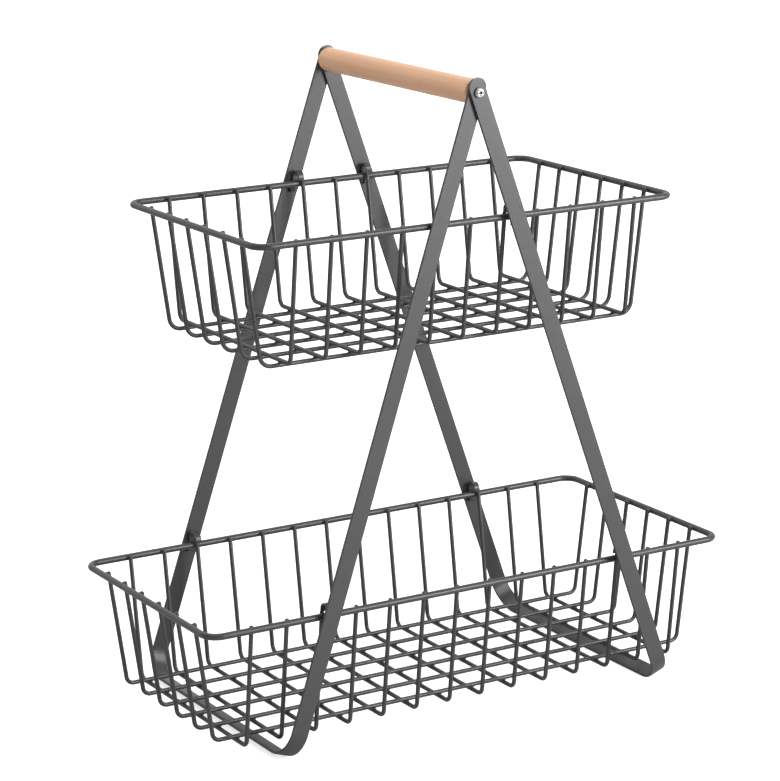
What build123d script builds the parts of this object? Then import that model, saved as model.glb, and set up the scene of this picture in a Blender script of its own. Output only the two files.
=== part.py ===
"""Two wire baskets hung one above the other in a folding A frame of flat steel strap."""

import os
from math import atan, cos, degrees, radians, sin, tan

from build123d import *

os.makedirs("parts", exist_ok=True)

# Heights. A basket's floor has two layers of wires, and its height is that of the lower one.
floor_height = 10.0        # lower basket's floor above the table
basket_drop = 84.0         # rim centre down to the floor, both baskets
tier_spacing = 247.7       # rim to rim
hand_room = 84.3           # upper rim up to the pivot of the frame

# Baskets, measured between the centres of the rim wire
basket_depth = 186.0
lower_length = 400.0
upper_length = 316.5
rim_wire = 4.5
grid_wire = 3.0
rim_corner = 10.5
wall_lean = 11.3           # how far each wall comes in from rim to floor
wire_pitch = 25.85
wire_margin = 25.0         # least space from a rim's end to the first wire
side_margin = 28.375       # from a rim's long side to the first long wire
long_count = 6
wire_bend = 5.5
upper_long_bend = 10.5     # wires from end to end in the upper basket
tip_rise = 2.1             # wire tips above the rim's centre
weld_gap = 0.05            # between two wires at a weld

# Flat strap of the two hoops
strap_width = 12.0
strap_thick = 2.0
strap_bend = 17.5          # inside radius of the two bottom corners
strap_tip = 3.5            # centre of the rounded end beyond the pivot
strap_gap = 0.2            # between the two straps where they cross
leg_spread = 4.0           # how far each leg leans out, from pivot to table

# Hangers, each welded to the end of a wire and bent over the rim
hook_width = 4.5
hook_thick = 1.0
lower_hook_shift = -1.2    # hanger's middle outwards of its wire
upper_hook_shift = 1.2
hook_rise = 9.0            # top of the hanger above the rim's centre
hook_drop = 5.0            # outer leg's end below the rim's centre
hook_clear = 0.4           # outer leg to strap, and to the keeper's lip
seat_clear = 0.1           # outer leg's end above the keeper's floor
arch_share = 0.48          # bend radius of the hanger, of its span
lower_hook_step = 4.5      # hooked wires from the basket's middle, in pitches
upper_hook_step = 1.0

# Keepers on the straps
keeper_width = 5.4
keeper_thick = 1.0
keeper_lip = 3.0
keeper_gap = 0.1           # keeper's floor to the strap

# Handle and its two screws
handle_diameter = 16.5
handle_round = 0.8
handle_clear = 0.25        # dowel's end to the strap
pilot_depth = 19.0
screw_diameter = 3.5
screw_length = 16.0        # length inside the dowel
screw_point = 2.5
pilot_clear = 0.05
pivot_clear = 0.1          # screw in the strap's hole, on the radius
head_diameter = 7.0
head_height = 2.2
head_round_share = 0.7
head_clear = 0.15
drive_span = 4.2
drive_slot = 0.9
drive_depth = 1.3

overrun = 1.0              # how far a cut runs past the face it opens

# Derived heights
lower_rim_z = floor_height + basket_drop
upper_rim_z = lower_rim_z + tier_spacing
pivot_z = upper_rim_z + hand_room

# Derived wire counts, as many as the pitch allows
lower_cross_count = int((lower_length - 2 * wire_margin) / wire_pitch) + 1
upper_cross_count = int((upper_length - 2 * wire_margin) / wire_pitch) + 1
long_pitch = (basket_depth - 2 * side_margin) / (long_count - 1)

# Derived basket sizes
lean_angle = atan(wall_lean / basket_drop)
rim_to_wire = (rim_wire / 2 + grid_wire / 2 + weld_gap) / cos(lean_angle)

# Derived places front to back, outwards from the middle, at the pivot's height.
# The inner strap just clears the upper hanger's top, and all straps lean out downwards.
lean_out = leg_spread / pivot_z
rim_face = basket_depth / 2 + rim_wire / 2
inner_face = rim_face + weld_gap + hook_thick + hook_clear - (hand_room - hook_rise) * lean_out
inner_mid = inner_face + strap_thick / 2
outer_face = inner_face + strap_thick + strap_gap
outer_mid = outer_face + strap_thick / 2
frame_face = outer_face + strap_thick

# The hangers' inner legs stand on the wires' ends, and the legs pass behind the lower ones
inner_leg = basket_depth / 2 - rim_to_wire + tip_rise * tan(lean_angle)
inner_end = tip_rise + grid_wire / 2 * sin(lean_angle) + weld_gap
lower_hook_x = lower_hook_step * wire_pitch + lower_hook_shift
upper_hook_x = upper_hook_step * wire_pitch + upper_hook_shift
leg_angle = atan(lower_hook_x / (pivot_z - lower_rim_z))
leg_length = (pivot_z - strap_width / 2 * sin(leg_angle)) / cos(leg_angle)
leg_drop = leg_length - strap_thick / 2
leg_turn = lean_out * cos(leg_angle)

print(f"leg angle {degrees(leg_angle):.2f}, leg length {leg_length:.2f}")
print(f"pivot height {pivot_z:.2f}, rims {lower_rim_z:.2f} and {upper_rim_z:.2f}")
print(f"frame depth {2 * frame_face:.2f} at the pivot, {2 * (frame_face + leg_spread):.2f} at the table")
print(f"cross wires {lower_cross_count} and {upper_cross_count}, long wires {long_count}")

# Hoops: one bent strap each, drawn in the sloping plane of its two legs
for side, label in ((1, "hoop_right"), (-1, "hoop_left")):
    front = outer_mid if side > 0 else inner_mid
    back = inner_mid if side > 0 else outer_mid
    hoop_plane = Plane(
        origin=(0, 0, pivot_z),
        x_dir=(0, 1, 0),
        z_dir=(cos(leg_angle), 0, side * sin(leg_angle)),
    )
    with BuildPart() as hoop:
        with BuildSketch(hoop_plane):
            with BuildLine() as strap_line:
                FilletPolyline(
                    (strap_tip * leg_turn - front, strap_tip),
                    (-front - leg_drop * leg_turn, -leg_drop),
                    (back + leg_drop * leg_turn, -leg_drop),
                    (back - strap_tip * leg_turn, strap_tip),
                    radius=strap_bend + strap_thick / 2,
                )
            trace(strap_line.line, line_width=strap_thick)
        extrude(amount=strap_width / 2, both=True)
        for end, face_y in ((-1, -front), (1, back)):
            # Rounded end, flush with the strap's faces
            tip_plane = Plane(
                origin=hoop_plane.from_local_coords((face_y - end * strap_tip * leg_turn, strap_tip)),
                z_dir=hoop_plane.x_dir + hoop_plane.y_dir * end * leg_turn,
            )
            with BuildSketch(tip_plane):
                Circle(strap_width / 2)
            extrude(amount=strap_thick / 2, both=True)
            # Pivot hole
            with BuildSketch(Plane(origin=(0, face_y, pivot_z), z_dir=(0, 1, 0))):
                Circle(screw_diameter / 2 + pivot_clear)
            extrude(amount=strap_thick / 2 + overrun, both=True, mode=Mode.SUBTRACT)
    hoop.part.label = label
    export_step(hoop.part, f"parts/{label}.step")

# Handle: a dowel between the inner straps, with a pilot hole in each end
handle_half = inner_face - handle_clear
with BuildPart() as handle:
    with BuildSketch(Plane(origin=(0, 0, pivot_z), z_dir=(0, 1, 0))):
        Circle(handle_diameter / 2)
    extrude(amount=handle_half, both=True)
    fillet(handle.edges().filter_by(GeomType.CIRCLE), radius=handle_round)
    for end in (-1, 1):
        with BuildSketch(Plane(origin=(0, end * handle_half, pivot_z), z_dir=(0, -end, 0))):
            Circle(screw_diameter / 2 + pilot_clear)
        extrude(amount=pilot_depth, mode=Mode.SUBTRACT)
handle.part.label = "handle"
export_step(handle.part, "parts/handle.step")

# Screws: pan head with a cross slot, plain shank and point
head_seat = frame_face + head_clear
shank_end = handle_half - screw_length
for end, label in ((-1, "screw_front"), (1, "screw_back")):
    screw_plane = Plane(origin=(0, 0, pivot_z), x_dir=(1, 0, 0), z_dir=(0, 0, end))
    head_plane = Plane(origin=(0, end * (head_seat + head_height), pivot_z), z_dir=(0, -end, 0))
    with BuildPart() as screw:
        with BuildSketch(screw_plane):
            with BuildLine():
                Polyline(
                    (0, shank_end - screw_point),
                    (screw_diameter / 2, shank_end),
                    (screw_diameter / 2, head_seat),
                    (head_diameter / 2, head_seat),
                    (head_diameter / 2, head_seat + head_height),
                    (0, head_seat + head_height),
                    close=True,
                )
            make_face()
        revolve(axis=Axis((0, 0, pivot_z), (0, 1, 0)))
        head_edge = screw.edges().filter_by(GeomType.CIRCLE).sort_by(Axis((0, 0, pivot_z), (0, end, 0)))[-1]
        fillet(head_edge, radius=head_height * head_round_share)
        with BuildSketch(head_plane):
            Rectangle(drive_span, drive_slot)
            Rectangle(drive_slot, drive_span)
        extrude(amount=drive_depth, mode=Mode.SUBTRACT)
    screw.part.label = label
    export_step(screw.part, f"parts/{label}.step")

# Baskets: a rim, wires from front to back, and wires from end to end. The wires from
# end to end are the upper layer of the lower floor and the lower layer of the upper one.
layers = (basket_drop, basket_drop - grid_wire - weld_gap)
for tier, rim_length, rim_z, cross_count, cross_drop, long_drop, long_bend in (
    ("lower", lower_length, lower_rim_z, lower_cross_count, layers[0], layers[1], wire_bend),
    ("upper", upper_length, upper_rim_z, upper_cross_count, layers[1], layers[0], upper_long_bend),
):
    with BuildPart() as rim:
        with BuildLine(Plane.XY.offset(rim_z)) as rim_path:
            FilletPolyline(
                (-rim_length / 2, basket_depth / 2),
                (rim_length / 2, basket_depth / 2),
                (rim_length / 2, -basket_depth / 2),
                (-rim_length / 2, -basket_depth / 2),
                radius=rim_corner,
                close=True,
            )
        with BuildSketch(Plane(origin=rim_path.line @ 0, z_dir=rim_path.line % 0)):
            Circle(rim_wire / 2)
        sweep(path=rim_path.line)
    rim.part.label = f"{tier}_rim"
    export_step(rim.part, f"parts/{tier}_rim.step")

    # Wires from front to back
    tip_in = tip_rise * tan(lean_angle)
    cross_lean = cross_drop * tan(lean_angle)
    wall_y = basket_depth / 2 - rim_to_wire
    for index in range(cross_count):
        wire_x = (index - (cross_count - 1) / 2) * wire_pitch
        with BuildPart() as cross_wire:
            with BuildLine(Plane(origin=(wire_x, 0, rim_z), x_dir=(0, 1, 0), z_dir=(1, 0, 0))) as path:
                FilletPolyline(
                    (-wall_y - tip_in, tip_rise),
                    (cross_lean - wall_y, -cross_drop),
                    (wall_y - cross_lean, -cross_drop),
                    (wall_y + tip_in, tip_rise),
                    radius=wire_bend,
                )
            with BuildSketch(Plane(origin=path.line @ 0, z_dir=path.line % 0)):
                Circle(grid_wire / 2)
            sweep(path=path.line)
        label = f"{tier}_cross_wire_{index + 1:02d}"
        cross_wire.part.label = label
        export_step(cross_wire.part, f"parts/{label}.step")

    # Wires from end to end
    long_lean = long_drop * tan(lean_angle)
    wall_x = rim_length / 2 - rim_to_wire
    for index in range(long_count):
        wire_y = (index - (long_count - 1) / 2) * long_pitch
        with BuildPart() as long_wire:
            with BuildLine(Plane(origin=(0, wire_y, rim_z), x_dir=(1, 0, 0), z_dir=(0, -1, 0))) as path:
                FilletPolyline(
                    (-wall_x - tip_in, tip_rise),
                    (long_lean - wall_x, -long_drop),
                    (wall_x - long_lean, -long_drop),
                    (wall_x + tip_in, tip_rise),
                    radius=long_bend,
                )
            with BuildSketch(Plane(origin=path.line @ 0, z_dir=path.line % 0)):
                Circle(grid_wire / 2)
            sweep(path=path.line)
        label = f"{tier}_long_wire_{index + 1}"
        long_wire.part.label = label
        export_step(long_wire.part, f"parts/{label}.step")

# Hangers and keepers: one pair where each strap passes each rim
for tier, rim_z, hook_x in (("lower", lower_rim_z, lower_hook_x), ("upper", upper_rim_z, upper_hook_x)):
    for end, side, corner in ((-1, -1, "front_left"), (-1, 1, "front_right"), (1, -1, "back_left"), (1, 1, "back_right")):
        # The outer straps are the right one in front and the left one behind
        strap_face = outer_face if end * side < 0 else inner_face
        hook_top = rim_z + hook_rise
        floor_z = rim_z - hook_drop - seat_clear - keeper_thick / 2

        # Hanger: up from a wire's end inside the rim, over it, and down beside the strap
        outer_leg = strap_face + (pivot_z - hook_top) * lean_out - hook_clear - hook_thick / 2
        hook_plane = Plane(origin=(side * hook_x, 0, rim_z), x_dir=(0, end, 0), z_dir=(end, 0, 0))
        with BuildPart() as hook:
            with BuildSketch(hook_plane):
                with BuildLine() as hook_line:
                    FilletPolyline(
                        (inner_leg, inner_end),
                        (inner_leg, hook_rise - hook_thick / 2),
                        (outer_leg, hook_rise - hook_thick / 2),
                        (outer_leg, -hook_drop),
                        radius=(outer_leg - inner_leg) * arch_share,
                    )
                trace(hook_line.line, line_width=hook_thick)
            extrude(amount=hook_width / 2, both=True)
        hook.part.label = f"{tier}_hook_{corner}"
        export_step(hook.part, f"parts/{tier}_hook_{corner}.step")

        # Keeper: a floor under the hanger's leg and a lip in front of it
        floor_end = strap_face + (pivot_z - floor_z) * lean_out - keeper_gap
        lip_y = outer_leg - hook_thick / 2 - hook_clear - keeper_thick / 2
        keeper_x = side * (hook_x + (pivot_z - floor_z) * tan(leg_angle)) / 2
        keeper_plane = Plane(origin=(keeper_x, 0, floor_z), x_dir=(0, end, 0), z_dir=(end, 0, 0))
        with BuildPart() as keeper:
            with BuildSketch(keeper_plane):
                with BuildLine() as keeper_line:
                    Polyline((floor_end, 0), (lip_y, 0), (lip_y, keeper_lip))
                trace(keeper_line.line, line_width=keeper_thick)
            extrude(amount=keeper_width / 2, both=True)
        keeper.part.label = f"{tier}_keeper_{corner}"
        export_step(keeper.part, f"parts/{tier}_keeper_{corner}.step")
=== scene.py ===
# %% [markdown]
# # A two-tier wire basket
# The real object is bent from only three stocks: flat steel strap, round steel
# wire in two thicknesses, and a beech dowel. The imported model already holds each
# piece at its true size and place. This lesson keeps those places and gives each
# piece what a maker's eye looks for: rolled edges on the strap, domed wire ends,
# the little collar of coating at every weld, grain in the dowel, and a satin
# powder coat over all the steel.

from math import atan, cos, degrees, pi, radians, sin, sqrt, tan

import bmesh
import bpy
from mathutils import Matrix, Vector


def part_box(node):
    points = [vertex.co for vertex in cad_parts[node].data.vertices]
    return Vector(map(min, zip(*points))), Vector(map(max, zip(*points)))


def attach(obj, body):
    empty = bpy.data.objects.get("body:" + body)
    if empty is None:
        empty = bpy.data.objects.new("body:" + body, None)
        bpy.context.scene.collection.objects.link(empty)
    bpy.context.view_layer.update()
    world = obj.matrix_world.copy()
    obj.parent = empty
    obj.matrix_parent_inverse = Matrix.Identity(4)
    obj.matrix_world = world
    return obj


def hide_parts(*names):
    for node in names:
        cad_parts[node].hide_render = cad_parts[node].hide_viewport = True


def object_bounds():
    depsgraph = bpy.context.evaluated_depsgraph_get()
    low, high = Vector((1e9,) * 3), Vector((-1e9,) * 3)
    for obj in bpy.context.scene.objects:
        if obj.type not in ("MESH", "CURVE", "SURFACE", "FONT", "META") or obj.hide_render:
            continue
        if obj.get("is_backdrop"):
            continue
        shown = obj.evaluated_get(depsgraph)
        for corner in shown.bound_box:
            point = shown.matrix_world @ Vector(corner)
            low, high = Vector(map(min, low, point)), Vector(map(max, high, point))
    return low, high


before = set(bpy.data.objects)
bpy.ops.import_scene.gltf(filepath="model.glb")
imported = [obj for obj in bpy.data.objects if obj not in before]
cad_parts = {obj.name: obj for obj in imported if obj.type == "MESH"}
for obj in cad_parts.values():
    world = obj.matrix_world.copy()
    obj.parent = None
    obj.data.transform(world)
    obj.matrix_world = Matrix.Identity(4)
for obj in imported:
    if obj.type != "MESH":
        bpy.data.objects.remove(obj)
cad_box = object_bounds()

# %% [markdown]
# The drawing of the basket is in millimetres, and Blender works in metres. One
# factor turns a size of the drawing into a length here, so that the numbers below
# read as a tape measure would. Heights are above the table. A size that only one
# kind of piece has comes with that piece.

# %% Sizes from the drawing
mm = 0.001

# Wires, and how far the tips of the thin ones stand above the middle of the rim
rim_wire, grid_wire, weld_gap = 4.5 * mm, 3.0 * mm, 0.05 * mm
wire_pitch, long_count, tip_rise = 25.85 * mm, 6, 2.1 * mm

# Baskets: height and length of the rim, and how many wires run from front to back
tiers = {"lower": (94.0 * mm, 400.0 * mm, 14), "upper": (341.7 * mm, 316.5 * mm, 11)}
basket_depth, basket_drop, wall_lean = 186.0 * mm, 84.0 * mm, 11.3 * mm
lean = atan(wall_lean / basket_drop)
rim_to_wire = (rim_wire / 2 + grid_wire / 2 + weld_gap) / cos(lean)

# Hangers: the wire that each stands on, in pitches from the middle, and its shift
hook_step = {"lower": 4.5, "upper": 1.0}
hook_shift = {"lower": -1.2 * mm, "upper": 1.2 * mm}
hook_x = {tier: hook_step[tier] * wire_pitch + hook_shift[tier] for tier in tiers}

# Legs, which lean to the side by their angle and outwards by a small spread
strap_width, strap_thick, strap_gap = 12.0 * mm, 2.0 * mm, 0.2 * mm
pivot_height, leg_spread, handle_clear = 426.0 * mm, 4.0 * mm, 0.25 * mm
leg_angle = atan(hook_x["lower"] / (pivot_height - tiers["lower"][0]))
leg_drop = (pivot_height - strap_width / 2 * sin(leg_angle)) / cos(leg_angle) - strap_thick / 2
lean_out = leg_spread / pivot_height
hoops_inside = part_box("handle")[1].y + handle_clear

along, across_way, up = Vector((1, 0, 0)), Vector((0, 1, 0)), Vector((0, 0, 1))
hub = up * pivot_height
print("legs lean", round(degrees(leg_angle), 2), "degrees")
print("straps start", round(hoops_inside / mm, 2), "mm from the middle")

# %% [markdown]
# The camera stands where the photographer's did: to the left of the front, a
# little above the object, with a long lens from two metres away. A long lens
# keeps the far rim nearly as large as the near one, as in a catalogue picture.

# %% Camera
eye = Vector((-0.98581, -1.66730, 0.70017))
look_at = Vector((-0.01039, 0.0, 0.21034))
roll = radians(-0.84)
picture_height, focal_pixels = 781, 2918.5
sensor = 36.0

camera = bpy.data.objects.new("camera", bpy.data.cameras.new("camera"))
bpy.context.scene.collection.objects.link(camera)
camera.data.sensor_width = sensor
camera.data.lens = sensor * focal_pixels / picture_height
facing = (look_at - eye).to_track_quat("-Z", "Y").to_matrix().to_4x4()
camera.matrix_world = Matrix.Translation(eye) @ facing @ Matrix.Rotation(roll, 4, "Z")
bpy.context.scene.camera = camera
print("lens", round(camera.data.lens, 1), "mm at", round((look_at - eye).length, 2), "m")

# %% [markdown]
# ## Materials as trees
# A material is a tree of small steps, the nodes. These helpers each add a step or
# two, so that a material below reads like a short recipe. Most of a noise lies
# between 0.3 and 0.7, so a change of scale mostly starts from that range.

# %% Tree helpers
noise_range = (0.3, 0.7)


def new_material(name):
    made = bpy.data.materials.new(name)
    made.use_nodes = True
    made.node_tree.nodes.clear()
    return made, made.node_tree


def node(tree, kind, **values):
    made = tree.nodes.new("ShaderNode" + kind)
    for name, value in values.items():
        setattr(made, name, value)
    return made


def noise(tree, coords, scale, detail=2.0, roughness=0.5):
    made = node(tree, "TexNoise")
    made.inputs["Scale"].default_value = scale
    made.inputs["Detail"].default_value = detail
    made.inputs["Roughness"].default_value = roughness
    tree.links.new(coords, made.inputs["Vector"])
    return made.outputs["Fac"]


def remap(tree, value, *limits):
    """Change the scale of a value: from low, from high, to low, to high."""
    made = node(tree, "MapRange")
    for name, number in zip(("From Min", "From Max", "To Min", "To Max"), limits):
        made.inputs[name].default_value = number
    tree.links.new(value, made.inputs["Value"])
    return made.outputs["Result"]


def combine(tree, operation, first, second):
    made = node(tree, "Math", operation=operation)
    for index, value in enumerate((first, second)):
        if isinstance(value, (int, float)):
            made.inputs[index].default_value = value
        else:
            tree.links.new(value, made.inputs[index])
    return made.outputs[0]


def scaled_colour(tree, colour, factor):
    made = node(tree, "VectorMath", operation="SCALE")
    tree.links.new(colour, made.inputs[0])
    tree.links.new(factor, made.inputs["Scale"])
    return made.outputs[0]


# %% [markdown]
# ## Studio
# The studio is a pale floor that runs out of the picture on all sides. The floor
# keeps the shadow, and a glow that only the camera sees lifts it to the white of a
# catalogue page without lighting the object.

# %% Floor
floor_reach, floor_grey = 14.0, 0.62
glow_near, glow_far, near, far = 0.74, 1.0, 0.2, 1.6
floor_material, tree = new_material("studio_floor")
paint = node(tree, "BsdfDiffuse")
paint.inputs["Color"].default_value = (floor_grey, floor_grey, floor_grey, 1)
away = node(tree, "VectorMath", operation="LENGTH")
tree.links.new(node(tree, "TexCoord").outputs["Object"], away.inputs[0])
lift = remap(tree, away.outputs["Value"], near, far, glow_near, glow_far)
glow = node(tree, "Emission")
seen = node(tree, "LightPath").outputs["Is Camera Ray"]
tree.links.new(combine(tree, "MULTIPLY", lift, seen), glow.inputs["Strength"])
both = node(tree, "AddShader")
tree.links.new(paint.outputs[0], both.inputs[0])
tree.links.new(glow.outputs[0], both.inputs[1])
tree.links.new(both.outputs[0], node(tree, "OutputMaterial").inputs["Surface"])

bm = bmesh.new()
bmesh.ops.create_grid(bm, x_segments=1, y_segments=1, size=floor_reach)
floor_mesh = bpy.data.meshes.new("floor")
bm.to_mesh(floor_mesh)
bm.free()
floor = bpy.data.objects.new("floor", floor_mesh)
floor.data.materials.append(floor_material)
bpy.context.scene.collection.objects.link(floor)
floor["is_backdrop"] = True
print("floor reaches", floor_reach, "m each way")

# %% [markdown]
# A large soft light stands low at the front right, with a weaker one at the front
# left and one above. Each is a square lamp of about a metre, because a lamp much
# larger than the strap gives it one broad, even sheen and no hard line.

# %% Lights
def soft_light(name, place, aim, size, watts):
    lamp = bpy.data.lights.new(name, "AREA")
    lamp.shape, lamp.size, lamp.size_y, lamp.energy = "RECTANGLE", size, size, watts
    stand = bpy.data.objects.new(name, lamp)
    turn = (Vector(aim) - Vector(place)).to_track_quat("-Z", "Y")
    stand.matrix_world = Matrix.Translation(place) @ turn.to_matrix().to_4x4()
    bpy.context.scene.collection.objects.link(stand)


soft_light("key_light", (0.95, -1.45, 0.74), aim=(0, 0, 0.45), size=0.9, watts=42)
soft_light("fill_light", (-2.0, -1.8, 1.6), aim=(0, 0, 0.3), size=1.2, watts=6)
soft_light("top_light", (0.0, 0.3, 2.2), aim=(0, 0, 0.2), size=1.6, watts=15)

# %% [markdown]
# The walls of the studio give the rest of the light. For soft light they are paler
# to the right than to the left, and in reflections paler behind the object than in
# front of it. The camera itself sees them white.

# %% Studio walls
left_wall, right_wall, front_wall, back_wall = 0.32, 1.15, 0.12, 1.25
world = bpy.data.worlds.new("studio")
bpy.context.scene.world = world
world.use_nodes = True
tree = world.node_tree
sky = tree.nodes["Background"]
sky.inputs["Color"].default_value = (1, 1, 1, 1)
towards = node(tree, "SeparateXYZ")
tree.links.new(node(tree, "TexCoord").outputs["Generated"], towards.inputs[0])
rays = node(tree, "LightPath")
pick = node(tree, "Mix")
tree.links.new(rays.outputs["Is Glossy Ray"], pick.inputs["Factor"])
tree.links.new(remap(tree, towards.outputs["X"], -1, 1, left_wall, right_wall), pick.inputs["A"])
tree.links.new(remap(tree, towards.outputs["Y"], -1, 1, front_wall, back_wall), pick.inputs["B"])
level = combine(tree, "MAXIMUM", pick.outputs["Result"], rays.outputs["Is Camera Ray"])
tree.links.new(level, sky.inputs["Strength"])
bpy.context.scene.view_settings.view_transform = "Standard"
print("walls, left to right:", left_wall, right_wall, "front to back:", front_wall, back_wall)

# %% [markdown]
# Powder coat is sprayed on dry and melted in an oven. It flows into a skin with a
# faint orange peel, a wave of about a millimetre, with a much finer tooth on top,
# and it keeps small changes of gloss. One node group makes this from Object
# coordinates, and every coated piece uses it with its own colour.

# %% Powder coat
def socket(group, name, kind, value=None, into=True):
    way = "INPUT" if into else "OUTPUT"
    made = group.interface.new_socket(name, in_out=way, socket_type="NodeSocket" + kind)
    if value is not None:
        made.default_value = value
    return made


coat = bpy.data.node_groups.new("powder_coat", "ShaderNodeTree")
socket(coat, "Colour", "Color", (0.1, 0.1, 0.1, 1))
socket(coat, "Gloss", "Float", 0.4)
socket(coat, "Peel", "Float", 0.25)
socket(coat, "Colour", "Color", into=False)
socket(coat, "Roughness", "Float", into=False)
socket(coat, "Normal", "Vector", into=False)
given, made = coat.nodes.new("NodeGroupInput"), coat.nodes.new("NodeGroupOutput")
place = node(coat, "TexCoord").outputs["Object"]
cloud_scale, peel_scale, tooth_scale = 14.0, 850.0, 3600.0
tooth_share, peel_height = 0.35, 0.06 * mm
cloud_shade, tooth_shade = 0.06, 0.14
cloud_gloss, tooth_gloss = 0.03, 0.05
cloud = noise(coat, place, cloud_scale, detail=3.0)
peel = noise(coat, place, peel_scale, detail=1.0)
tooth = noise(coat, place, tooth_scale, detail=2.0, roughness=0.6)
shade = combine(
    coat, "MULTIPLY",
    remap(coat, cloud, *noise_range, 1 - cloud_shade, 1 + cloud_shade),
    remap(coat, tooth, *noise_range, 1 - tooth_shade, 1 + tooth_shade),
)
coat.links.new(scaled_colour(coat, given.outputs["Colour"], shade), made.inputs["Colour"])
gloss = given.outputs["Gloss"]
for pattern, change in ((tooth, tooth_gloss), (cloud, cloud_gloss)):
    gloss = combine(coat, "ADD", gloss, remap(coat, pattern, *noise_range, -change, change))
coat.links.new(gloss, made.inputs["Roughness"])
bump = node(coat, "Bump")
bump.inputs["Distance"].default_value = peel_height
coat.links.new(given.outputs["Peel"], bump.inputs["Strength"])
skin = combine(coat, "ADD", peel, combine(coat, "MULTIPLY", tooth, tooth_share))
coat.links.new(skin, bump.inputs["Height"])
coat.links.new(bump.outputs["Normal"], made.inputs["Normal"])


def coated(name, colour, gloss, peel):
    material, tree = new_material(name)
    surface = node(tree, "BsdfPrincipled")
    group = node(tree, "Group")
    group.node_tree = coat
    group.inputs["Colour"].default_value = (*colour, 1)
    group.inputs["Gloss"].default_value = gloss
    group.inputs["Peel"].default_value = peel
    tree.links.new(group.outputs["Colour"], surface.inputs["Base Color"])
    tree.links.new(group.outputs["Roughness"], surface.inputs["Roughness"])
    tree.links.new(group.outputs["Normal"], surface.inputs["Normal"])
    tree.links.new(surface.outputs[0], node(tree, "OutputMaterial").inputs["Surface"])
    return material


strap_coat = coated("strap_powder_coat", (0.0375, 0.0355, 0.0375), gloss=0.40, peel=0.25)
wire_coat = coated("wire_powder_coat", (0.0305, 0.029, 0.0305), gloss=0.40, peel=0.2)
print("coat groups:", coat.name, "in", strap_coat.name, "and", wire_coat.name)

# %% [markdown]
# Beech is pale pink-brown with a straight grain and short darker flecks, the
# rays, a millimetre or two long. The dowel is turned so that the grain runs along
# it, from front to back. Stretching a noise along that way gives the grain, and
# because the pattern fills space, the ends show end grain by themselves.

# %% Beech
grain_scale, band_scale, fleck_scale = 420.0, 95.0, 1500.0
grain_stretch, fleck_stretch = 0.035, 0.16
dark_wood, pale_wood = (0.69, 0.368, 0.200, 1), (0.81, 0.475, 0.282, 1)
ray_wood = (0.36, 0.18, 0.10, 1)
grain_share, grain_depth, grain_strength = 0.6, 0.05 * mm, 0.3
fleck_edge, fleck_strength = (0.62, 0.70), 0.24
pale_roughness, dark_roughness = 0.38, 0.48

beech, tree = new_material("beech")
place = node(tree, "TexCoord").outputs["Object"]
stretched = []
for stretch in (grain_stretch, fleck_stretch):
    lengthened = node(tree, "Mapping")
    lengthened.inputs["Scale"].default_value = (1.0, stretch, 1.0)
    tree.links.new(place, lengthened.inputs["Vector"])
    stretched.append(lengthened.outputs[0])
streak = noise(tree, stretched[0], grain_scale, detail=4.0, roughness=0.6)
band = noise(tree, stretched[0], band_scale, detail=2.0)
fleck = noise(tree, stretched[1], fleck_scale, detail=1.0)
tone = node(tree, "ValToRGB")
stops = ((0.25, dark_wood), (0.75, pale_wood))
for stop, (position, colour) in zip(tone.color_ramp.elements, stops):
    stop.position, stop.color = position, colour
figure = combine(
    tree, "ADD",
    combine(tree, "MULTIPLY", streak, grain_share),
    combine(tree, "MULTIPLY", band, 1 - grain_share),
)
tree.links.new(figure, tone.inputs[0])
rays_on = node(tree, "Mix", data_type="RGBA")
rays_on.inputs["B"].default_value = ray_wood
tree.links.new(remap(tree, fleck, *fleck_edge, 0.0, fleck_strength), rays_on.inputs["Factor"])
tree.links.new(tone.outputs["Color"], rays_on.inputs["A"])
lacquer = node(tree, "BsdfPrincipled")
tree.links.new(rays_on.outputs["Result"], lacquer.inputs["Base Color"])
satin = remap(tree, streak, *noise_range, dark_roughness, pale_roughness)
tree.links.new(satin, lacquer.inputs["Roughness"])
grain = node(tree, "Bump")
grain.inputs["Distance"].default_value = grain_depth
grain.inputs["Strength"].default_value = grain_strength
tree.links.new(streak, grain.inputs["Height"])
tree.links.new(grain.outputs["Normal"], lacquer.inputs["Normal"])
tree.links.new(lacquer.outputs[0], node(tree, "OutputMaterial").inputs["Surface"])
print("beech is", beech.name)

# %% [markdown]
# The two screws are bright plated steel. Plating is a mirror with hairline
# polishing marks, so the roughness is low and wanders a little. The driver's cross
# is a hollow that polishing doesn't reach, so it is duller, and its material is darker with
# painted shade.

# %% Plated steel
def metal(name, grey):
    material, tree = new_material(name)
    steel = node(tree, "BsdfPrincipled")
    steel.inputs["Base Color"].default_value = grey
    steel.inputs["Metallic"].default_value = 1.0
    tree.links.new(steel.outputs[0], node(tree, "OutputMaterial").inputs["Surface"])
    return material, tree, steel.inputs["Roughness"]


mark_scale, smoothest, roughest, recess_roughness = 2500.0, 0.26, 0.38, 0.6
plated, tree, roughness = metal("plated_steel", (0.42, 0.42, 0.43, 1))
place = node(tree, "TexCoord").outputs["Object"]
marks = noise(tree, place, mark_scale, detail=3.0, roughness=0.7)
tree.links.new(remap(tree, marks, *noise_range, smoothest, roughest), roughness)
# painted shade: a darker grey on the faces of the driver's cross stands in for the shade inside
# it
painted_shade_plating, tree, roughness = metal("plated_painted_shade", (0.07, 0.07, 0.07, 1))
roughness.default_value = recess_roughness
print("steel:", plated.name, "and", painted_shade_plating.name)

# %% [markdown]
# ## The bending machine
# A maker feeds stock through a machine, draws it round a mandrel and rounds off
# its ends. These helpers do the same with a bmesh. The open end of the stock is a
# loop of edges. Feeding extrudes the loop, bending spins it, and rounding off
# feeds it in small steps while it shrinks. The last step stops a little short of
# the full quarter turn, and a small face closes the end.

# %% Bending machine
end_flat = 0.4


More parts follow.
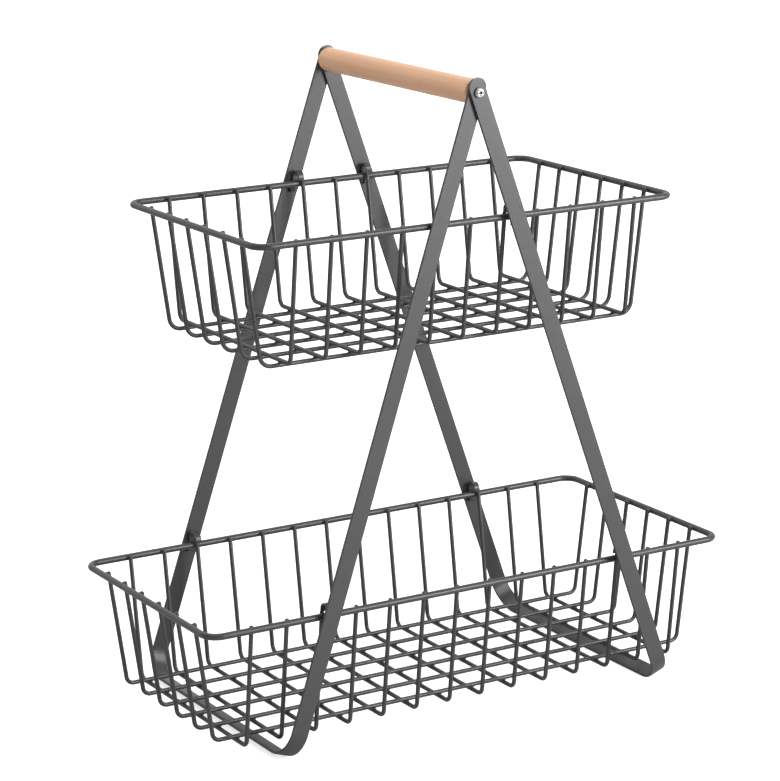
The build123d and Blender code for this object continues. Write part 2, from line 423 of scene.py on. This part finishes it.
class Stock:
    """One end of a length of stock, with the loop of edges that is still open."""

    def __init__(self, bm, loop, at, heading):
        self.bm, self.loop = bm, loop
        self.at, self.heading = Vector(at), Vector(heading).normalized()

    def corners(self):
        return list({corner for edge in self.loop for corner in edge.verts})

    def other_end(self):
        return Stock(self.bm, list(self.loop), self.at, -self.heading)

    def feed(self, length):
        grown = bmesh.ops.extrude_edge_only(self.bm, edges=self.loop)["geom"]
        moved = {item for item in grown if isinstance(item, bmesh.types.BMVert)}
        edges = [item for item in grown if isinstance(item, bmesh.types.BMEdge)]
        bmesh.ops.translate(self.bm, verts=list(moved), vec=self.heading * length)
        self.loop = [edge for edge in edges if set(edge.verts) <= moved]
        self.at += self.heading * length
        return self

    def bend(self, axis, radius, angle, steps):
        centre = self.at + axis.cross(self.heading) * radius
        spun = bmesh.ops.spin(
            self.bm, geom=self.loop + self.corners(),
            cent=centre, axis=axis, angle=angle, steps=steps,
        )["geom_last"]
        turn = Matrix.Rotation(angle, 3, axis)
        self.loop = [item for item in spun if isinstance(item, bmesh.types.BMEdge)]
        self.at = centre + turn @ (self.at - centre)
        self.heading = turn @ self.heading
        return self

    def round_off(self, half, edge, steps, *across):
        """Round off and close the end, all round or only along the way across."""
        before = half
        for step in range(steps):
            last, turn = (pi / 2 * count / (steps + end_flat) for count in (step, step + 1))
            self.feed(edge * (sin(turn) - sin(last)))
            now = half - edge * (1 - cos(turn))
            there, size = Matrix.Translation(self.at), Matrix.Scale(now / before, 4, *across)
            shrink = there @ size @ there.inverted()
            bmesh.ops.transform(self.bm, matrix=shrink, verts=self.corners())
            before = now
        bmesh.ops.edgeloop_fill(self.bm, edges=self.loop)


def round_stock(bm, radius, sides, at, heading):
    place = Matrix.Translation(at) @ heading.to_track_quat("Z", "Y").to_matrix().to_4x4()
    ring = bmesh.ops.create_circle(
        bm, cap_ends=False, radius=radius, segments=sides, matrix=place
    )["verts"]
    return Stock(bm, list({edge for corner in ring for edge in corner.link_edges}), at, heading)


def flat_stock(bm, width, thick, rounding, at, heading, across):
    """Strap with rolled edges, its width along across."""
    heading = heading.normalized()
    turn = Matrix((across, heading.cross(across), heading)).transposed().to_4x4()
    place = Matrix.Translation(at) @ turn @ Matrix.Diagonal((width, thick, 1, 1))
    known = set(bm.edges)
    corners = bmesh.ops.create_grid(
        bm, x_segments=1, y_segments=1, size=0.5, matrix=place
    )["verts"]
    bmesh.ops.bevel(
        bm, geom=corners, offset=rounding, offset_type="OFFSET", segments=3, profile=0.5,
        affect="VERTICES", material=-1,
    )
    loop = [edge for edge in bm.edges if edge not in known]
    faces = list({face for edge in loop for face in edge.link_faces})
    bmesh.ops.delete(bm, geom=faces, context="FACES_ONLY")
    return Stock(bm, loop, at, heading)


# %% [markdown]
# Every piece is finished in the same way: points that meet are merged, the faces
# are turned outwards and shaded smooth, and on strap the broad sides keep their
# flat shading. Then the piece is hung on the body it rides on, and the imported
# parts it stands for are hidden.

# %% Finished piece
merge_distance, flat_side_weight = 0.001 * mm, 80


def make_piece(name, bm, body, stands_for, material, flat_sides=False):
    bmesh.ops.remove_doubles(bm, verts=bm.verts, dist=merge_distance)
    bmesh.ops.recalc_face_normals(bm, faces=bm.faces)
    for face in bm.faces:
        face.smooth = True
    mesh = bpy.data.meshes.new(name)
    bm.to_mesh(mesh)
    bm.free()
    mesh.materials.append(material)
    piece = bpy.data.objects.new(name, mesh)
    bpy.context.scene.collection.objects.link(piece)
    if flat_sides:
        even = piece.modifiers.new("even_flat_sides", "WEIGHTED_NORMAL")
        even.weight = flat_side_weight
    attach(piece, body)
    if stands_for:
        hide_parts(*stands_for)
    return piece


# %% [markdown]
# ## Grid wires
# Each grid wire is one length of 3 mm wire: down one wall, along the floor and
# up the other wall. The walls lean out, so both bends turn a little less than a
# right angle. In the lower basket the wires that run from end to end lie on the
# ones that run from front to back, and in the upper basket they lie below them.
# Cropped ends are domed by the coating.

# %% Wires
wire_bend, upper_long_bend, tip_dome = 5.5 * mm, 8.5 * mm, 1.2 * mm
wire_sides, bend_steps, dome_steps = 16, 10, 4


def spaced(count):
    """Places of wires one pitch apart, as many on one side of the middle as on the other."""
    return [(index - (count - 1) / 2) * wire_pitch for index in range(count)]


def u_wire(name, body, middle, run, half_top, drop, bend):
    """A wire bent like a wide U. middle is the point at rim height, run its long way."""
    axis, down = run.cross(up), -up
    slope = (run * sin(lean) + down * cos(lean)).normalized()
    start = middle - run * half_top - slope * (tip_rise / cos(lean) - tip_dome)
    turn = pi / 2 - lean
    wall = (drop + tip_rise) / cos(lean) - tip_dome - bend * tan(turn / 2)
    floor_run = 2 * (half_top - drop * tan(lean)) - 2 * bend * tan(turn / 2)
    bm = bmesh.new()
    wire = round_stock(bm, grid_wire / 2, wire_sides, start, slope)
    wire.other_end().round_off(grid_wire / 2, tip_dome, dome_steps)
    wire.feed(wall).bend(axis, bend, turn, bend_steps)
    wire.feed(floor_run).bend(axis, bend, turn, bend_steps)
    wire.feed(wall).round_off(grid_wire / 2, tip_dome, dome_steps)
    make_piece(name + "_bent", bm, body, [name], wire_coat)


# How deep the cross wires and the long wires hang, and the bend of the long ones
top_layer = basket_drop - grid_wire - weld_gap
layers = {
    "lower": (basket_drop, top_layer, wire_bend),
    "upper": (top_layer, basket_drop, upper_long_bend),
}
for tier, (rim_z, rim_length, cross_count) in tiers.items():
    body = tier + "_basket"
    cross_drop, long_drop, long_bend = layers[tier]
    half_top = basket_depth / 2 - rim_to_wire
    for number, x in enumerate(spaced(cross_count), 1):
        name, middle = f"{tier}_cross_wire_{number:02d}", Vector((x, 0, rim_z))
        u_wire(name, body, middle, across_way, half_top, cross_drop, wire_bend)
    half_top = rim_length / 2 - rim_to_wire
    for number, y in enumerate(spaced(long_count), 1):
        name, middle = f"{tier}_long_wire_{number}", Vector((0, y, rim_z))
        u_wire(name, body, middle, along, half_top, long_drop, long_bend)
print("wires drawn:", sum(count + long_count for _, _, count in tiers.values()))

# %% [markdown]
# ## Rims
# A rim is one length of 4.5 mm wire bent round four corners and butt welded to
# itself, which the coating hides. It is bent here in the same order, from the middle
# of the front side and round to it again, and merging the points closes it.

# %% Rims
rim_corner, rim_sides, corner_steps = 10.5 * mm, 20, 12
for tier, (rim_z, rim_length, _) in tiers.items():
    bm = bmesh.new()
    rim = round_stock(bm, rim_wire / 2, rim_sides, Vector((0, -basket_depth / 2, rim_z)), along)
    rim.feed(rim_length / 2 - rim_corner)
    for straight in (basket_depth, rim_length, basket_depth):
        rim.bend(up, rim_corner, pi / 2, corner_steps).feed(straight - 2 * rim_corner)
    rim.bend(up, rim_corner, pi / 2, corner_steps).feed(rim_length / 2 - rim_corner)
    make_piece(tier + "_rim_bent", bm, tier + "_basket", [tier + "_rim"], wire_coat)
    print(tier, "rim", round(rim_length / mm, 1), "by", round(basket_depth / mm, 1), "mm")

# %% [markdown]
# ## Welds
# Resistance welding squeezes two crossing wires into each other, and the coating
# then fills the corner between them. A small flattened bead at each crossing
# gives that collar.

# %% Welds
bead_sides, bead_rings = 10, 6
floor_bead = (1.9 * mm, 1.9 * mm, 0.8 * mm)
long_wall_bead, end_wall_bead = (2.0 * mm, 0.9 * mm, 1.9 * mm), (0.9 * mm, 2.0 * mm, 1.9 * mm)


def bead(bm, at, size):
    place = Matrix.Translation(at) @ Matrix.Diagonal((*size, 1))
    bmesh.ops.create_uvsphere(
        bm, u_segments=bead_sides, v_segments=bead_rings, radius=1.0, matrix=place
    )


contact = rim_wire / 2 + weld_gap / 2
for tier, (rim_z, rim_length, cross_count) in tiers.items():
    bm = bmesh.new()
    floor_z = rim_z - basket_drop + grid_wire / 2
    for x in spaced(cross_count):
        for y in spaced(long_count):
            bead(bm, (x, y, floor_z), floor_bead)
        for end in (-1, 1):
            bead(bm, (x, end * (basket_depth / 2 - contact), rim_z), long_wall_bead)
    for y in spaced(long_count):
        for end in (-1, 1):
            bead(bm, (end * (rim_length / 2 - contact), y, rim_z), end_wall_bead)
    print(tier, "weld collars:", cross_count * (long_count + 2) + 2 * long_count)
    make_piece(tier + "_welds", bm, tier + "_basket", [], wire_coat)

# %% [markdown]
# ## Hoops
# Each hoop is one 12 mm strap: down a front leg, under the baskets and up a back
# leg, in a plane that slopes with its legs. Its ends are half round. The rolled
# edges of the strap catch a thin line of light. The right hoop lies outside the
# left one at the front, and inside it at the back.

# %% Hoops
strap_bend, strap_tip, strap_edge = 17.5 * mm, 3.5 * mm, 0.45 * mm
bar_steps, tip_steps = 14, 14
outside, inside = 1.5 * strap_thick + strap_gap, 0.5 * strap_thick
turn_out = lean_out * cos(leg_angle)
for name, side, body, front_layer, back_layer in (
    ("hoop_right", 1, "right_hoop", outside, inside),
    ("hoop_left", -1, "frame", inside, outside),
):
    broad = Vector((cos(leg_angle), 0, side * sin(leg_angle)))
    leg_up = broad.cross(across_way)
    front, back = hoops_inside + front_layer, hoops_inside + back_layer
    start = hub - across_way * (front - strap_tip * turn_out) + leg_up * strap_tip
    down_leg = (-across_way * turn_out - leg_up).normalized()
    turn = pi / 2 + atan(turn_out)
    radius = strap_bend + strap_thick / 2
    used = radius * tan(turn / 2)
    leg = (leg_drop + strap_tip) * sqrt(1 + turn_out**2) - used
    foot = front + back + 2 * leg_drop * turn_out - 2 * used
    bm = bmesh.new()
    strap = flat_stock(bm, strap_width, strap_thick, strap_edge, start, down_leg, broad)
    strap.other_end().round_off(strap_width / 2, strap_width / 2, tip_steps, broad)
    strap.feed(leg).bend(broad, radius, turn, bar_steps)
    strap.feed(foot).bend(broad, radius, turn, bar_steps)
    strap.feed(leg).round_off(strap_width / 2, strap_width / 2, tip_steps, broad)
    make_piece(name + "_bent", bm, body, [name], strap_coat, flat_sides=True)
    print(name, "foot bar", round(foot / mm, 1), "mm between its bends")

# %% [markdown]
# ## Hangers
# A hanger is a narrow tongue welded to a wire's end. It arches over the rim and
# ends behind the strap. It is bent from flat stock with two quarter turns, and a
# bead joins its foot to the wire.

# %% Hangers
hook_width, hook_thick, hook_edge = 4.5 * mm, 1.0 * mm, 0.3 * mm
hook_rise, hook_drop, hook_clear = 9.0 * mm, 5.0 * mm, 0.4 * mm
arch_share, arch_steps, edge_steps = 0.48, 8, 2
hook_bead = (1.8 * mm, 1.1 * mm, 0.8 * mm)
inner_leg = basket_depth / 2 - rim_to_wire + tip_rise * tan(lean)
inner_end = tip_rise + grid_wire / 2 * sin(lean) + weld_gap


def hanger(tier, corner, end, side, outer_leg):
    """A tongue over the rim. end is -1 at the front, and side is -1 on the left."""
    name, over = f"{tier}_hook_{corner}", along * -end
    foot = Vector((side * hook_x[tier], 0, tiers[tier][0] + inner_end))
    foot += across_way * end * inner_leg
    arch = (outer_leg - inner_leg) * arch_share
    bm = bmesh.new()
    tongue = flat_stock(bm, hook_width, hook_thick, hook_edge, foot, up, along)
    bead(bm, foot - along * side * hook_shift[tier], hook_bead)
    bmesh.ops.edgeloop_fill(bm, edges=tongue.loop)
    tongue.feed(hook_rise - inner_end - hook_thick / 2 - arch)
    tongue.bend(over, arch, pi / 2, arch_steps).feed(outer_leg - inner_leg - 2 * arch)
    tongue.bend(over, arch, pi / 2, arch_steps)
    tongue.feed(hook_rise - hook_thick / 2 - arch + hook_drop - hook_edge)
    tongue.round_off(hook_thick / 2, hook_edge, edge_steps, across_way)
    basket = tier + "_basket"
    make_piece(name + "_bent", bm, basket, [name], wire_coat, flat_sides=True)


# %% [markdown]
# ## Keepers
# A keeper is a small shelf on the strap that the hanger's end stands on. A lip on
# its inner side lets the basket lift off but not slide off. The straps hide the
# keepers in the photograph, so their form is a maker's guess: flat stock, folded once.

# %% Keepers
keeper_width, keeper_thick, keeper_lip = 5.4 * mm, 1.0 * mm, 3.0 * mm
keeper_edge, fold_share, fold_steps = 0.25 * mm, 0.6, 5
seat_clear, keeper_gap = 0.1 * mm, 0.1 * mm


def keeper(tier, corner, end, side, strap_face, outer_leg):
    name, body = f"{tier}_keeper_{corner}", "frame" if side < 0 else "right_hoop"
    shelf_z = tiers[tier][0] - hook_drop - seat_clear - keeper_thick / 2
    shelf_end = strap_face + (pivot_height - shelf_z) * lean_out - keeper_gap
    lip_y = outer_leg - hook_thick / 2 - hook_clear - keeper_thick / 2
    keeper_x = side * (hook_x[tier] + (pivot_height - shelf_z) * tan(leg_angle)) / 2
    start = Vector((keeper_x, end * shelf_end, shelf_z))
    fold = keeper_thick * fold_share
    bm = bmesh.new()
    inwards = -across_way * end
    shelf = flat_stock(bm, keeper_width, keeper_thick, keeper_edge, start, inwards, along)
    bmesh.ops.edgeloop_fill(bm, edges=shelf.loop)
    shelf.feed(shelf_end - lip_y - fold).bend(along * -end, fold, pi / 2, fold_steps)
    shelf.feed(keeper_lip - fold - keeper_edge)
    shelf.round_off(keeper_thick / 2, keeper_edge, edge_steps, across_way)
    make_piece(name + "_bent", bm, body, [name], strap_coat, flat_sides=True)


corners = {
    "front_left": (-1, -1), "front_right": (-1, 1),
    "back_left": (1, -1), "back_right": (1, 1),
}
for tier, (rim_z, _, _) in tiers.items():
    for corner, (end, side) in corners.items():
        on_outside = end * side < 0
        strap_face = hoops_inside + (strap_thick + strap_gap if on_outside else 0.0)
        top_face = strap_face + (pivot_height - rim_z - hook_rise) * lean_out
        outer_leg = top_face - hook_clear - hook_thick / 2
        hanger(tier, corner, end, side, outer_leg)
        keeper(tier, corner, end, side, strap_face, outer_leg)
print("hangers reach", round(outer_leg / mm, 2), "mm from the middle")

# %% [markdown]
# ## Handle
# The handle is a beech dowel between the two straps. Round stock gives it, fed both
# ways from the middle, and its ends are broken with a small round, as a turner
# leaves them so that they don't chip.

# %% Handle
handle_diameter, handle_round = 16.5 * mm, 0.8 * mm
handle_sides, round_steps = 64, 5
half_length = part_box("handle")[1].y
bm = bmesh.new()
dowel = round_stock(bm, handle_diameter / 2, handle_sides, hub, across_way)
for half in (dowel.other_end(), dowel):
    half.feed(half_length - handle_round)
    half.round_off(handle_diameter / 2, handle_round, round_steps)
make_piece("handle_turned", bm, "frame", ["handle"], beech, flat_sides=True)
print("handle", round(2 * half_length / mm, 1), "mm long")

# %% [markdown]
# ## Screws
# A pan head is a short drum with a generous round, over a plain shank that ends
# in a point. The shank starts a little inside the head, so that the two overlap.

# %% Screws
shank, point, overlap = 1.75 * mm, 2.5 * mm, 0.2 * mm
head, head_height, head_round = 3.5 * mm, 2.2 * mm, 1.54 * mm
head_sides, head_steps, shank_sides = 40, 6, 24


def pan_screw(name, end, tip, top):
    seat = top - end * head_height
    bm = bmesh.new()
    pan = round_stock(bm, head, head_sides, hub + across_way * seat, across_way * end)
    pan.other_end().round_off(head, head - shank, 1)
    pan.feed(head_height - head_round).round_off(head, head_round, head_steps)
    neck = hub + across_way * (seat + end * overlap)
    core = round_stock(bm, shank, shank_sides, neck, -across_way * end)
    core.feed(abs(seat - tip) + overlap - point).round_off(shank, shank, 1)
    return make_piece(name + "_plated", bm, "frame", [name], plated)


# %% [markdown]
# The driver's cross is cut last, with two crossed blocks that narrow inwards. The
# cut's faces take the material of the blocks, which is darker with painted shade.

# %% Driver's cross
drive_span, drive_slot, drive_depth = 4.4 * mm, 1.1 * mm, 1.4 * mm
block_thick, narrowing, sharp_angle = 2.0 * mm, 0.55, radians(35)


def cut_cross(screw, end, top):
    bm = bmesh.new()
    middle = hub + across_way * (top - end * (drive_depth - block_thick / 2))
    for width, height in ((drive_span, drive_slot), (drive_slot, drive_span)):
        shape = Matrix.Translation(middle) @ Matrix.Diagonal((width, block_thick, height, 1))
        block = bmesh.ops.create_cube(bm, size=1.0, matrix=shape)["verts"]
        deep = [corner for corner in block if (corner.co.y - middle.y) * end < 0]
        narrow = (narrowing, 1, narrowing)
        bmesh.ops.scale(bm, vec=narrow, space=Matrix.Translation(-hub), verts=deep)
    mesh = bpy.data.meshes.new("driver")
    bm.to_mesh(mesh)
    bm.free()
    # painted shade: the blocks carry the darker plating into the cut
    mesh.materials.append(painted_shade_plating)
    driver = bpy.data.objects.new("driver", mesh)
    bpy.context.scene.collection.objects.link(driver)
    cut = screw.modifiers.new("driver_cross", "BOOLEAN")
    cut.object, cut.operation, cut.solver, cut.use_self = driver, "DIFFERENCE", "EXACT", True
    cut.material_mode = "TRANSFER"
    bpy.context.view_layer.update()
    evaluated = screw.evaluated_get(bpy.context.evaluated_depsgraph_get())
    finished = bpy.data.meshes.new_from_object(evaluated)
    screw.modifiers.clear()
    screw.data = finished
    finished.set_sharp_from_angle(angle=sharp_angle)
    bpy.data.objects.remove(driver)
    print(screw.name, len(finished.polygons), "faces")


for name, end in (("screw_front", -1), ("screw_back", 1)):
    low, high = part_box(name)
    tip, top = (low.y, high.y) if end > 0 else (high.y, low.y)
    cut_cross(pan_screw(name, end, tip, top), end, top)

# %% [markdown]
# ## Finish
# The dressed basket has to be as large as the imported one, so both boxes are
# printed.

# %% Finish
shown_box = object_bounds()
for title, box in (("cad", cad_box), ("shown", shown_box)):
    print(title, [round(x, 4) for v in box for x in v])
